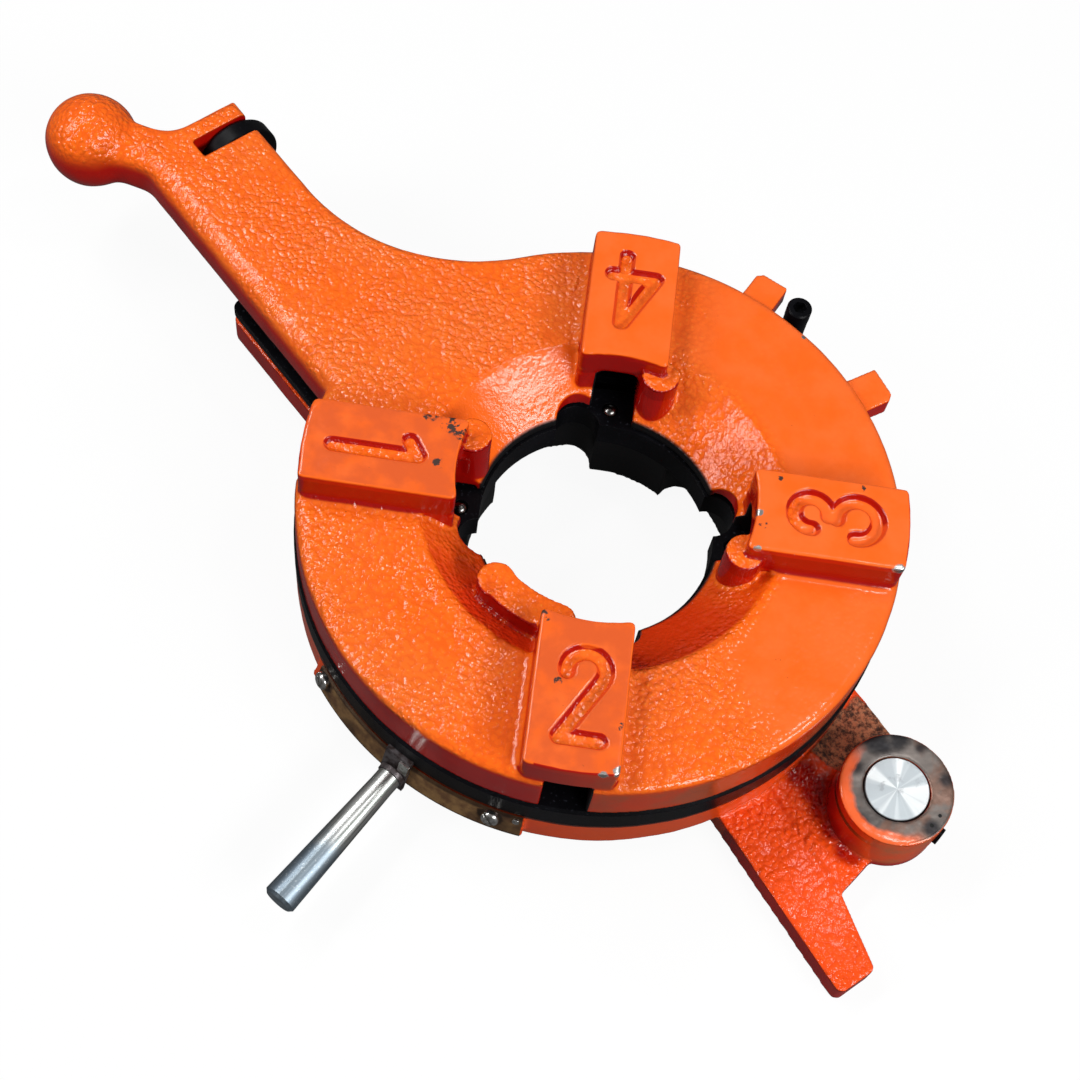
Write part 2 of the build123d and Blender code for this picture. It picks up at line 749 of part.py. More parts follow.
# Front body: ring, blocks, lugs, arm and ball in one casting
with BuildPart() as front_body:
    with BuildSketch(across(arm_angle, front_bottom)) as outline:
        neck = radians(neck_angle)
        half_neck = neck_width / 2
        elbow = ball_along - half_neck * sin(neck) - (ball_side + half_neck * cos(neck) - arm_outer_edge) / tan(neck)
        ear_root = ball_side - half_neck * cos(neck) - (ball_along + half_neck * sin(neck) - ear_end) * tan(neck)
        sweep_centre_side = arm_inner_edge - arm_sweep_radius
        sweep_reach = front_radius + arm_sweep_radius
        sweep_centre_along = sqrt(sweep_reach**2 - sweep_centre_side**2)
        ring_share = front_radius / sweep_reach
        with BuildLine():
            Polyline(
                (0, arm_outer_edge),
                (elbow, arm_outer_edge),
                (ball_along - half_neck * sin(neck), ball_side + half_neck * cos(neck)),
                (ball_along + half_neck * sin(neck), ball_side - half_neck * cos(neck)),
                (ear_end, ear_root),
                (ear_end, arm_inner_edge),
                (0, arm_inner_edge),
                close=True,
            )
        make_face()
        fillet(outline.vertices().sort_by_distance((elbow, arm_outer_edge))[0], elbow_rounding)
        fillet(outline.vertices().sort_by_distance((ear_end, ear_root))[0], ear_root_rounding)
        with BuildLine():
            ring_tangent = (sweep_centre_along * ring_share, sweep_centre_side * ring_share)
            Polyline((sweep_centre_along, arm_inner_edge), (0, arm_inner_edge), (0, 0), ring_tangent)
            RadiusArc(ring_tangent, (sweep_centre_along, arm_inner_edge), arm_sweep_radius)
        make_face()
        Circle(front_radius)
    extrude(amount=front_thickness)
    # soft edges, rounder along the arm's outer side and under the neck
    top_edges = front_body.edges().group_by(Axis.Z)[-1]
    outer_edge = min(top_edges, key=lambda edge: abs(beyond_arm(edge)))
    other_middles = [edge @ 0.5 for edge in top_edges if beyond_arm(edge) < -near_enough]
    fillet(outer_edge, arm_outer_rounding)
    top_edges = front_body.edges().group_by(Axis.Z)[-1]
    fillet([top_edges.sort_by_distance(middle)[0] for middle in other_middles], front_shoulder_rounding)
    neck_frame = across(arm_angle, front_bottom).location * Location((ball_along, ball_side, 0), (0, 0, neck_angle))
    neck_sides = [(neck_frame * Location((-ball_radius, side, 0))).position for side in (half_neck, -half_neck)]
    bottom_edges = front_body.edges().group_by(Axis.Z)[0]
    fillet([bottom_edges.sort_by_distance(point)[0] for point in neck_sides], neck_bottom_rounding)
    with Locations(across(arm_angle, ball_height).location * Location((ball_along, ball_side, 0))):
        Sphere(ball_radius)
    fillet(front_body.edges(Select.NEW), ball_joint_rounding)
    # boss for the roller's pin, under the arm
    pin_start = across(arm_angle, roller_height).location * Location(
        (arm_slot_start - roller_pin_grip, roller_side, 0), (0, 90, 0))
    with BuildSketch(Plane(pin_start)):
        Circle(roller_boss_radius)
    extrude(amount=2 * roller_pin_grip + arm_slot_width)
    # bore with its cone mouth
    with BuildSketch(upright(0)):
        with BuildLine():
            Polyline(
                (0, front_bottom),
                (front_bore_radius, front_bottom),
                (front_bore_radius, front_bottom + front_bore_height),
                (cone_mouth_radius, front_top),
                (0, front_top),
                close=True,
            )
        make_face()
    revolve(axis=Axis.Z, mode=Mode.SUBTRACT)
    # blocks
    for angle in quarter_angles:
        with BuildSketch(across(angle, front_bottom)) as block:
            Circle(block_outer_radius)
            Circle(block_inner_radius, mode=Mode.SUBTRACT)
            with Locations((block_outer_radius, block_side)):
                Rectangle(2 * (block_outer_radius - block_inner_radius) + block_width, block_width,
                          mode=Mode.INTERSECT)
            fillet(block.vertices(), block_corner_rounding)
        extrude(amount=block_top - front_bottom)
    fillet(front_body.edges().group_by(Axis.Z)[-1], block_edge_rounding)
    # lugs at the inner ends, and the tongue of block 2
    for angle, reach in inner_lug_reaches.items():
        with BuildSketch(across(angle, front_bottom)):
            with Locations((reach, inner_lug_side)):
                Circle(inner_lug_radius)
        extrude(amount=front_thickness + inner_lug_height)
    with BuildSketch(Plane.XY.offset(front_bottom)):
        arc_slot(tongue_path_radius, tongue_start_angle, tongue_start_angle + tongue_arc, tongue_width)
        knob_angle = tongue_start_angle + tongue_arc
        with Locations(Vector(tongue_path_radius, 0).rotate(Axis.Z, knob_angle)):
            Circle(tongue_knob_radius)
    extrude(amount=front_thickness + tongue_height)
    # stop lugs on the rim, each with one corner cut
    for angle, width, side in stop_lugs:
        with BuildSketch(across(angle, stop_lug_bottom)) as stop_lug:
            with Locations((stop_lug_reach - stop_lug_length / 2, 0)):
                Rectangle(stop_lug_length, width)
            outer_corner = (stop_lug_reach, side * width / 2)
            chamfer(stop_lug.vertices().sort_by_distance(outer_corner)[0], stop_lug_corner)
        extrude(amount=stop_lug_thickness)
    # register and relief for the balls on the underside
    with BuildSketch(Plane.XY.offset(front_bottom)):
        Circle(register_inner_radius + register_width)
        Circle(register_inner_radius, mode=Mode.SUBTRACT)
    extrude(amount=-register_height)
    with BuildSketch(Plane.XY.offset(front_bottom)):
        Circle(detent_reach + detent_ball_radius + detent_groove_clearance)
        Circle(detent_reach - detent_ball_radius - detent_groove_clearance, mode=Mode.SUBTRACT)
    extrude(amount=detent_proud + detent_groove_clearance, mode=Mode.SUBTRACT)
    # chaser slots and chip notches
    for angle in quarter_angles:
        with BuildSketch(across(angle, front_bottom - register_height)):
            with Locations((front_radius / 2 + front_bore_radius / 2, chaser_slot_side)):
                Rectangle(2 * front_radius - front_bore_radius, chaser_slot_width)
        extrude(amount=front_thickness + register_height, mode=Mode.SUBTRACT)
        with BuildSketch(across(angle + chip_notch_angle, front_bottom)):
            with Locations((cam_bore_radius, 0)):
                Circle(chip_notch_radius)
        extrude(amount=front_thickness, mode=Mode.SUBTRACT)
    # threaded holes for the guide screws
    with BuildSketch(Plane.XY.offset(front_bottom)):
        with PolarLocations(guide_reach, len(quarter_angles), start_angle=guide_angle):
            Circle(guide_thread_radius + thread_clearance)
    extrude(amount=guide_thread_length + thread_end, mode=Mode.SUBTRACT)
    # slot and pin hole of the arm
    with BuildSketch(across(arm_angle, front_top)):
        with Locations((roller_centre, arm_inner_edge)):
            Rectangle(arm_slot_width, 2 * arm_slot_depth)
    extrude(amount=roller_height - roller_boss_radius - front_top, mode=Mode.SUBTRACT)
    with BuildSketch(Plane(pin_start)):
        Circle(roller_pin_radius + thread_clearance)
    extrude(amount=ear_end - arm_slot_start + 2 * roller_pin_grip, mode=Mode.SUBTRACT)
    # numbers
    for angle, strokes in number_strokes.items():
        for centre_line in strokes:
            full_size = centre_line.scale(number_size).moved(Location((0, -number_reach, 0)))
            with BuildSketch(across(angle + 90, block_top)):
                SlotArc(full_size, stroke_width)
            extrude(amount=-stroke_depth, taper=stroke_draft, mode=Mode.SUBTRACT)
save(front_body, "front_body")

# Roller and pin of the arm
with BuildPart() as arm_roller:
    with BuildSketch(Plane(pin_start * Location((0, 0, roller_pin_grip + roller_gap)))):
        Circle(roller_radius)
        Circle(roller_pin_radius + running_clearance, mode=Mode.SUBTRACT)
    extrude(amount=roller_width)
    rims = arm_roller.edges().filter_by(GeomType.CIRCLE).group_by(SortBy.RADIUS)[-1]
    fillet(rims, roller_edge_rounding)
save(arm_roller, "arm_roller")

with BuildPart() as roller_pin:
    with BuildSketch(Plane(pin_start * Location((0, 0, running_clearance)))):
        Circle(roller_pin_radius)
    extrude(amount=roller_pin_grip + arm_slot_width + ear_thickness - 2 * running_clearance)
save(roller_pin, "roller_pin")

# Guide screws and their washers
with BuildPart() as guide_screws:
    washer_seat = pocket_depth - face_gap
    head_top = washer_seat - washer_thickness
    with BuildSketch(Plane.XY.offset(head_top)):
        with PolarLocations(guide_reach, len(quarter_angles), start_angle=guide_angle):
            Circle(guide_head_radius)
    extrude(amount=-guide_head_height)
    with BuildSketch(Plane.XY.offset(head_top)):
        with PolarLocations(guide_reach, len(quarter_angles), start_angle=guide_angle):
            Circle(guide_shoulder_radius)
    extrude(amount=front_bottom - head_top)
    with BuildSketch(Plane.XY.offset(front_bottom)):
        with PolarLocations(guide_reach, len(quarter_angles), start_angle=guide_angle):
            Circle(guide_thread_radius)
    extrude(amount=guide_thread_length)
    with BuildSketch(Plane.XY.offset(head_top - guide_head_height)):
        with PolarLocations(guide_reach, len(quarter_angles), start_angle=guide_angle):
            RegularPolygon(guide_shoulder_radius * 0.9, 6)
    extrude(amount=socket_depth, mode=Mode.SUBTRACT)
save(guide_screws, "guide_screws")

with BuildPart() as guide_washers:
    with BuildSketch(Plane.XY.offset(head_top)):
        with PolarLocations(guide_reach, len(quarter_angles), start_angle=guide_angle):
            Circle(washer_radius)
            Circle(guide_shoulder_radius + thread_clearance, mode=Mode.SUBTRACT)
    extrude(amount=washer_thickness)
save(guide_washers, "guide_washers")
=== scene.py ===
from math import cos, radians, sin

import bpy
import numpy as np
from mathutils import Matrix, Vector, noise


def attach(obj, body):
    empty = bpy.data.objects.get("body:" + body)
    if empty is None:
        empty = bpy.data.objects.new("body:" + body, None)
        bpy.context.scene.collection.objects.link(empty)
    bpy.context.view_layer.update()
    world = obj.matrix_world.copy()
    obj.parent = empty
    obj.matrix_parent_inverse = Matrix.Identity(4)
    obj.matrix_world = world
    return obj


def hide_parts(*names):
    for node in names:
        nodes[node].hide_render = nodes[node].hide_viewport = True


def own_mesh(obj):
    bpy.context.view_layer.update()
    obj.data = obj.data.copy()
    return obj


# Pipe threading die head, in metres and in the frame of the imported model: z is the pipe's axis, and
# x and y point outwards through blocks 3 and 4.

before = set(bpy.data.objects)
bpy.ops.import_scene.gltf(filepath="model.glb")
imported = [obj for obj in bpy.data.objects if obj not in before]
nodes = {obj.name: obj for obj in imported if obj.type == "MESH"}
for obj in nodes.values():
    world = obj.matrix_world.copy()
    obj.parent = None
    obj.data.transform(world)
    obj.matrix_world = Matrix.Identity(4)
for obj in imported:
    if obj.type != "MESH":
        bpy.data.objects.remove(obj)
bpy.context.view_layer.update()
scene = bpy.context.scene
MM = 0.001

BOSS = Vector((0.09855, -0.06916, 0.028))
ROD_DIRECTION = Vector((cos(radians(-121.5)), sin(radians(-121.5)), 0))
ARM_DIRECTION = Vector((cos(radians(134.7)), sin(radians(134.7)), 0))
ARM_SIDE = Vector((-ARM_DIRECTION.y, ARM_DIRECTION.x, 0))


class Tree:
    """A node tree under construction."""

    def __init__(self, tree):
        self.tree = tree

    def add(self, kind, inputs=(), **settings):
        node = self.tree.nodes.new(kind)
        for name, value in settings.items():
            setattr(node, name, value)
        for key, value in dict(inputs).items():
            self.put(node.inputs[key], value)
        return node

    def put(self, socket, value):
        """Links another node's socket, or sets a value."""
        if isinstance(value, bpy.types.NodeSocket):
            self.tree.links.new(value, socket)
        elif socket.type == "RGBA" and len(value) == 3:
            socket.default_value = (*value, 1)
        else:
            socket.default_value = value

    def rays(self):
        """Two sockets: 1 for camera rays, and 1 for glossy rays."""
        outputs = self.add("ShaderNodeLightPath").outputs
        return outputs["Is Camera Ray"], outputs["Is Glossy Ray"]

    def math(self, operation, a, b=0.0, c=0.0):
        return self.add("ShaderNodeMath", {0: a, 1: b, 2: c}, operation=operation).outputs[0]

    def product(self, first, *others):
        for other in others:
            first = self.math("MULTIPLY", first, other)
        return first

    def most(self, first, *others):
        for other in others:
            first = self.math("MAXIMUM", first, other)
        return first

    def colour(self, factor, a, b):
        """The colour a where the factor is 0, and b where it is 1."""
        return self.add("ShaderNodeMix", {0: factor, 6: a, 7: b}, data_type="RGBA").outputs[2]

    def value(self, factor, a, b):
        """The number a where the factor is 0, and b where it is 1."""
        return self.add("ShaderNodeMix", {0: factor, 2: a, 3: b}, data_type="FLOAT").outputs[0]


class Finish(Tree):
    """A material under construction, drawn in the object's own coordinates."""

    def __init__(self, name):
        self.material = bpy.data.materials.new(name)
        self.material.use_nodes = True
        super().__init__(self.material.node_tree)
        self.tree.nodes.clear()
        self.shader = self.add("ShaderNodeBsdfPrincipled")
        self.add("ShaderNodeOutputMaterial", {"Surface": self.shader.outputs["BSDF"]})
        coordinates = self.add("ShaderNodeTexCoord")
        self.point = coordinates.outputs["Object"]
        self.x, self.y, self.z = self.split(self.point)
        self.facing = coordinates.outputs["Normal"]
        self.north, self.up = self.split(self.facing)[1:]
        self.reach = self.length(self.across())
        self.surface = None

    def split(self, vector):
        return self.add("ShaderNodeSeparateXYZ", {0: vector}).outputs

    def vector(self, operation, a, b=(0, 0, 0)):
        return self.add("ShaderNodeVectorMath", {0: a, 1: b}, operation=operation).outputs["Vector"]

    def dot(self, a, b):
        return self.add("ShaderNodeVectorMath", {0: a, 1: b}, operation="DOT_PRODUCT").outputs["Value"]

    def length(self, a):
        return self.add("ShaderNodeVectorMath", {0: a}, operation="LENGTH").outputs["Value"]

    def across(self, centre=(0, 0, 0)):
        """Offset from the upright axis through this point."""
        return self.vector("MULTIPLY", self.vector("SUBTRACT", self.point, tuple(centre)), (1, 1, 0))

    def band(self, value, low, high):
        """0 at low, 1 at high, smooth between them. low may be above high."""
        inputs = {"Value": value, "From Min": low, "From Max": high}
        return self.add("ShaderNodeMapRange", inputs, interpolation_type="SMOOTHSTEP").outputs[0]

    def noise(self, scale, detail=2.0, roughness=0.5, distortion=0.0, at=None):
        inputs = {"Vector": at or self.point, "Scale": scale, "Detail": detail, "Roughness": roughness,
                  "Distortion": distortion}
        return self.add("ShaderNodeTexNoise", inputs).outputs[0]

    def wobble(self, scale, detail, size):
        """Noise between minus and plus this size."""
        return self.math("MULTIPLY_ADD", self.noise(scale, detail), 2 * size, -size)

    def near(self, centre, radius, ragged, scale=400, core=0.75):
        """1 in a ragged spot round a point in millimetres, which fades from core times its radius."""
        offset = self.vector("SUBTRACT", self.point, tuple(c * MM for c in centre))
        distance = self.math("ADD", self.length(offset), self.wobble(scale, 3, ragged * radius * MM))
        return self.band(distance, radius * MM, radius * MM * core)

    def spots(self, listed):
        """1 in each spot of a list that holds what near() takes."""
        return self.most(*[self.near(*spot) for spot in listed])

    def bump(self, height, depth):
        """Adds relief of this depth in millimetres to the surface."""
        inputs = {"Height": height, "Distance": depth * MM, "Strength": 1.0}
        if self.surface is not None:
            inputs["Normal"] = self.surface
        self.surface = self.add("ShaderNodeBump", inputs).outputs[0]

    def round_edges(self, radius):
        self.surface = self.add("ShaderNodeBevel", {"Radius": radius * MM}, samples=4).outputs[0]

    def done(self, **inputs):
        for name, value in inputs.items():
            self.put(self.shader.inputs[name.replace("_", " ")], value)
        if self.surface is not None:
            self.put(self.shader.inputs["Normal"], self.surface)
        return self.material


def wear(node, material):
    """Gives a node or piece its material."""
    node.data.materials.clear()
    node.data.materials.append(material)


# Orange paint over cast iron. The masks run from 0 at their first number to 1 at their second.

RIM_REACH = (0.0905, 0.0915)
BLOCK_REACH = (0.0530, 0.0535)
BLOCK_SIDE = (0.0115, 0.0110)
SLOT_SIDE = (0.0071, 0.0070)
STAIN_CENTRE = (0.0875, -0.0470, 0.010)

# Spots: centre and radius in millimetres, raggedness, scale of the ragged edge, core
FRONT_CHIPS = [
    ((57, -15.6, 62.6), 1.2, 0.5, 900), ((70, -15.4, 62.6), 0.9, 0.6, 900),
    ((88.4, -14.6, 62.3), 2.2, 0.4, 700), ((46, -14.4, 62.4), 1.3, 0.5, 900),
    ((45.6, -2.5, 62.4), 1.4, 0.5, 800), ((12.7, -89.3, 62.3), 2.0, 0.4, 700),
    ((8.2, -91.0, 62.2), 1.5, 0.5, 900), ((57.8, 69.9, 51.0), 0.9, 0.4, 900),
]
FRONT_SCUFFS = [
    ((-55.3, 14.3, 62.9), 3.0, 0.5, 400), ((-48.0, 12.6, 62.9), 4.0, 0.5, 400),
    ((-44.8, 9.4, 62.4), 3.0, 0.5, 400), ((-49.9, -1.9, 62.9), 2.2, 0.5, 400),
    ((-91.0, 8.5, 61.5), 2.2, 0.5, 500), ((76.4, 10.9, 62.9), 1.2, 0.5, 500),
    ((11.3, -76.2, 62.9), 1.6, 0.5, 500), ((-7.3, -65.4, 62.9), 1.5, 0.5, 600),
    ((-14.0, -46.0, 62.4), 2.5, 0.5, 500), ((51.5, 10.2, 62.9), 1.0, 0.5, 500),
    ((47.0, -6.0, 62.9), 1.8, 0.5, 500),
]
REAR_SCUFFS = [((-60, 75, 15), 3, 0.4, 300)]
# deep red spots of painted shade
FRONT_SHADED = [
    ((-30.0, -38.0, 44.0), 12.0, 0.25, 160, 0.35), ((-22.0, -46.0, 47.0), 9.5, 0.25, 200, 0.35),
]
REAR_SHADED = [
    ((73.5, -62.0, 9.8), 7.0, 0.2, 150, 0.45), ((78.5, -66.0, 9.8), 8.0, 0.2, 150, 0.45),
    ((81.5, -71.5, 9.8), 7.5, 0.2, 150, 0.45), ((84.5, -77.5, 9.8), 7.0, 0.2, 150, 0.45),
    ((88.7, -84.0, 9.8), 6.5, 0.2, 150, 0.45),
]
BOSS_SOOT = [
    (centre, radius, 0.6, 150, 0.2) for centre, radius in (
        ((92.5, -55.0, 28), 7.0), ((99, -53.5, 28), 6.0), ((105, -55, 28), 3.5), ((86, -64, 28), 4.0),
        ((88, -81, 28), 5.0), ((113, -64, 28), 4.0), ((109, -80, 28), 4.0), ((96, -84, 28), 3.0),
    )
]
BOSS_DOTS = [((111.6, -75.6, 28), 0.7, 0.2), ((109.2, -79.0, 28), 0.7, 0.2)]


def orange_paint(name, smooth_parts, details, dark_parts, chips, scuffs, shaded,
                 pebble_scale, depth, red):
    """Glossy paint over pebbled iron.

    The functions draw on the finish, and the lists hold its chips, scuffs and spots of painted shade.
    depth is the pebbles' height in millimetres, and red the share of redder paint on what faces up.
    """
    f = Finish(name)
    orange = f.colour(f.band(f.noise(24, 3), 0.35, 0.7), (0.99, 0.140, 0.005), (0.90, 0.155, 0.014))
    top = f.colour(red, orange, (0.94, 0.060, 0.006))
    # side is painted shade: deep red on upright faces, against the orange top colour of faces that point
    # up
    side = f.colour(f.band(f.noise(60, 3), 0.3, 0.75), (0.40, 0.002, 0.001), (0.54, 0.008, 0.002))
    colour = f.colour(f.band(f.up, 0.10, 0.62), side, top)
    smooth, fine = smooth_parts(f)
    ground = f.colour(f.band(f.noise(90, 4), 0.3, 0.7), (0.96, 0.135, 0.010), (0.98, 0.160, 0.026))
    colour = f.colour(f.product(smooth, f.band(f.up, 0.5, 0.9)), colour, ground)
    # deep red spots of painted shade in the cone recess and on the web beside the boss
    colour = f.colour(f.spots(shaded), colour, (0.36, 0.004, 0.001))

    # pebbled skin
    drift = f.add("ShaderNodeTexNoise", {"Vector": f.point, "Scale": 300.0}).outputs["Color"]
    bent = f.vector("ADD", f.point, f.vector("MULTIPLY", drift, (0.0018, 0.0018, 0.0018)))
    cells = f.add("ShaderNodeTexVoronoi", {"Vector": bent, "Scale": pebble_scale, "Smoothness": 0.4},
                  feature="SMOOTH_F1").outputs["Distance"]
    pebbles = f.math("SUBTRACT", 1.0, cells)
    amount = f.value(f.most(smooth, f.product(fine, 0.85)), 1.0, 0.05)
    amount = f.product(amount, f.band(f.up, 0.15, 0.60))
    # golden crests on the pebbles: painted glints
    glint_crests = f.product(f.band(pebbles, 0.70, 0.95), f.band(f.noise(900, 2), 0.42, 0.58), amount)
    colour = f.colour(f.product(glint_crests, 0.35 * (1 - red)), colour, (1.0, 0.38, 0.04))
    # darker red in the pebbles' pits: painted shade
    pit_shade = f.product(f.band(pebbles, 0.52, 0.36), amount)
    colour = f.colour(f.product(pit_shade, 0.22), colour, (0.62, 0.040, 0.004))
    patches = f.value(f.band(f.noise(42, 3), 0.38, 0.62), 0.22, 1.0)
    f.bump(f.product(pebbles, amount, patches), depth)
    f.bump(f.product(f.noise(1300, 2), f.most(amount, f.product(fine, 0.8))), 0.10)
    f.bump(f.noise(150, 2), 0.10)
    roughness = f.value(f.noise(200, 3), 0.12, 0.22)
    colour, roughness, metal = details(f, colour, roughness)

    # dirt, scuffs, chips, and the near-black bore, slots and underside
    dirt = f.product(f.band(f.noise(700, 4, 0.7), 0.66, 0.72), f.band(f.noise(60, 2), 0.55, 0.7))
    colour = f.colour(f.product(dirt, 0.75), colour, (0.10, 0.03, 0.012))
    scuffed = f.product(f.spots(scuffs), f.band(f.noise(520, 3, 0.6), 0.47, 0.56))
    colour = f.colour(scuffed, colour, (0.045, 0.02, 0.014))
    roughness = f.value(scuffed, roughness, 0.55)
    if chips:
        chipped = f.spots(chips)
        colour = f.colour(chipped, colour, (0.62, 0.60, 0.58))
        roughness = f.value(chipped, roughness, 0.3)
        metal = f.value(chipped, metal, 1.0)
    dark = dark_parts(f)
    # the bore, slots and underside are darkened to near black
    near_black = f.colour(f.noise(120, 3), (0.001, 0.001, 0.0015), (0.004, 0.004, 0.005))
    colour = f.colour(dark, colour, near_black)
    roughness = f.value(dark, roughness, 0.5)
    return f.done(Base_Color=colour, Roughness=roughness, Metallic=metal, IOR=1.45)


def front_smooth(f):
    """Ground block tops with the smoother right half of the ring, and the finely grained cone."""
    tops = f.band(f.z, 0.0612, 0.0622)
    slant = f.band(f.dot(f.point, (0.82, 0.57, 0.0)), 0.000, 0.014)
    right = f.product(f.band(f.x, 0.012, 0.034), slant, f.band(f.reach, 0.056, 0.061), 0.92)
    cone = f.product(f.band(f.reach, 0.0566, 0.0558), f.band(f.z, 0.0512, 0.0508))
    left = f.product(f.band(f.x, 0.000, -0.006), f.band(f.y, 0.004, 0.012))
    return f.most(tops, right), f.product(cone, left)


def front_dark(f):
    """Near-black bore, chaser slots and underside."""
    in_slot = f.most(*[f.band(f.math("ABSOLUTE", offset), *SLOT_SIDE) for offset in (f.x, f.y)])
    slots = f.product(in_slot, f.band(f.z, 0.05125, 0.05115))
    bore = f.product(f.band(f.reach, 0.0390, 0.0380), f.band(f.z, 0.0385, 0.0370))
    under = f.band(f.z, 0.0342, 0.0338)
    return f.most(slots, bore, under)


def front_details(f, colour, roughness):
    """Painted shade on the number walls, the block feet and one side of the cone, duller tops of blocks
    1 and 2, and painted reflection on the lower-right rim.
    """
    x = f.math("ABSOLUTE", f.x)
    y = f.math("ABSOLUTE", f.y)
    blocks = f.most(*[f.product(f.band(out, *BLOCK_REACH), f.band(off, *BLOCK_SIDE))
                      for out, off in ((x, y), (y, x))])
    height = f.product(f.band(f.z, 0.0608, 0.0611), f.band(f.z, 0.06285, 0.06270))
    # painted shade on the number walls: deep red where they face south, lighter orange where they face
    # north
    number_walls = f.product(blocks, height, f.band(f.up, 0.97, 0.84))
    south_shade = f.band(f.north, 0.05, -0.15)
    colour = f.colour(number_walls, colour, f.colour(south_shade, (0.80, 0.075, 0.012), (0.42, 0.006, 0.002)))

    tops = f.product(f.band(f.z, 0.0606, 0.0616), f.band(f.up, 0.90, 0.97))
    lower_left = f.band(f.math("ADD", f.x, f.y), 0.02, -0.02)
    dull = f.product(tops, lower_left, f.band(f.noise(110, 4), 0.25, 0.60))
    colour = f.colour(dull, colour, (0.74, 0.110, 0.022))

    # painted shade on the south-facing feet of the blocks
    feet = f.product(f.band(f.z, 0.0512, 0.0518), f.band(f.z, 0.0605, 0.0598), f.band(f.up, 0.97, 0.82))
    feet = f.product(feet, f.band(f.north, -0.06, -0.20), f.band(f.reach, 0.1000, 0.0990))
    colour = f.colour(feet, colour, (0.38, 0.003, 0.001))

    # painted shade on the north-facing side of the cone
    cone = f.product(f.band(f.reach, 0.0568, 0.0556), f.band(f.z, 0.0506, 0.0498))
    cone = f.product(cone, f.band(f.north, 0.05, 0.45), f.band(f.up, 0.2, 0.6), 0.9)
    colour = f.colour(cone, colour, (0.66, 0.030, 0.004))

    # painted reflection: a lighter mottled orange-brown on the lower-right rim, in place of the painted
    # shade of the sides
    rim = f.product(f.band(f.reach, *RIM_REACH), f.band(f.up, 0.45, 0.15))
    rim = f.product(rim, f.band(f.dot(f.point, (0.64, -0.77, 0.0)), 0.060, 0.085), 0.9)
    painted_shading = f.colour(f.band(f.noise(80, 4), 0.36, 0.66), (0.62, 0.052, 0.007), (0.42, 0.082, 0.026))
    return f.colour(rim, colour, painted_shading), roughness, 0.0


def rear_smooth(f):
    """Machined face of the boss, and no finely grained part."""
    return f.band(f.z, 0.0272, 0.0278), 0.0


def rear_dark(f):
    """Near-black bore."""
    return f.product(f.band(f.reach, 0.0620, 0.0600), f.band(f.z, 0.0300, 0.0290))


def rear_details(f, colour, roughness):
    """Stained patch on the web, brownish rim, painted shadow under the cam disc, painted light on the
    boss's lower-right side, and the boss's machined face.
    """
    offset = f.vector("SUBTRACT", f.point, STAIN_CENTRE)
    wobble = f.wobble(170, 4, 0.003)
    along = f.math("ADD", f.math("ABSOLUTE", f.dot(offset, (0.554, 0.833, 0.0))), wobble)
    side = f.math("ADD", f.math("ABSOLUTE", f.dot(offset, (0.733, -0.680, 0.0))), wobble)
    stain = f.product(f.band(along, 0.0130, 0.0118), f.band(side, 0.0085, 0.0073))
    stain = f.product(stain, f.band(f.z, 0.0125, 0.0115))
    rust = f.colour(f.band(f.noise(560, 5, 0.7), 0.36, 0.62), (0.070, 0.030, 0.018), (0.74, 0.29, 0.14))
    colour = f.colour(stain, colour, rust)
    roughness = f.value(stain, roughness, 0.6)
    f.bump(f.product(f.noise(420, 5, 0.75), stain), 1.0)

    rim = f.product(f.band(f.reach, *RIM_REACH), f.band(f.reach, 0.0975, 0.0960))
    rim = f.product(rim, f.band(f.up, 0.5, 0.2), f.band(f.y, 0.020, 0.000))
    colour = f.colour(rim, colour, f.colour(f.noise(60, 3), (0.90, 0.070, 0.004), (0.68, 0.075, 0.008)))
    # painted shadow: a dark line on the rear body's top edge under the cam disc
    painted_shading = f.product(f.band(f.z, 0.0214, 0.0219), f.band(f.z, 0.0240, 0.0236))
    painted_shading = f.product(painted_shading, f.band(f.reach, 0.0900, 0.0910), 0.9)
    colour = f.colour(painted_shading, colour, (0.020, 0.004, 0.002))

    # painted light: the boss's lower-right side lighter than the painted shade of the sides
    ring = f.length(f.across(BOSS))
    boss_lit_side = f.product(f.band(ring, 0.0182, 0.0178), f.band(f.z, 0.0085, 0.0125))
    boss_lit_side = f.product(boss_lit_side, f.band(f.dot(f.facing, (0.75, -0.66, 0.0)), -0.1, 0.6))
    lit_side_tone = f.colour(f.band(f.noise(80, 4), 0.35, 0.65), (0.80, 0.085, 0.012), (0.52, 0.13, 0.04))
    colour = f.colour(boss_lit_side, colour, lit_side_tone)

    cloud = f.band(f.noise(95, 5, 0.55), 0.30, 0.72)
    bare = f.colour(cloud, (0.105, 0.092, 0.085), (0.235, 0.205, 0.185))
    brown = f.band(f.noise(70, 4, 0.6, 0.6), 0.47, 0.62)
    bare = f.colour(f.product(brown, 0.6), bare, (0.220, 0.095, 0.055))
    bare = f.colour(f.product(f.spots(BOSS_SOOT), 0.9), bare, (0.014, 0.014, 0.018))
    bare = f.colour(f.spots(BOSS_DOTS), bare, (0.004, 0.004, 0.004))
    lip = f.product(f.band(f.math("ADD", ring, f.wobble(110, 3, 0.003)), 0.0132, 0.0152),
                    f.band(f.dot(f.across(BOSS), (-0.80, -0.60, 0.0)), 0.000, 0.008))
    bare = f.colour(lip, bare, (0.88, 0.14, 0.035))
    face = f.band(f.z, 0.0274, 0.0278)
    colour = f.colour(face, colour, bare)
    steel = f.product(face, f.math("SUBTRACT", 1.0, lip))
    return colour, f.value(steel, roughness, 0.34), f.product(steel, 0.45)


# Castings: the frame's shape with soft cast edges

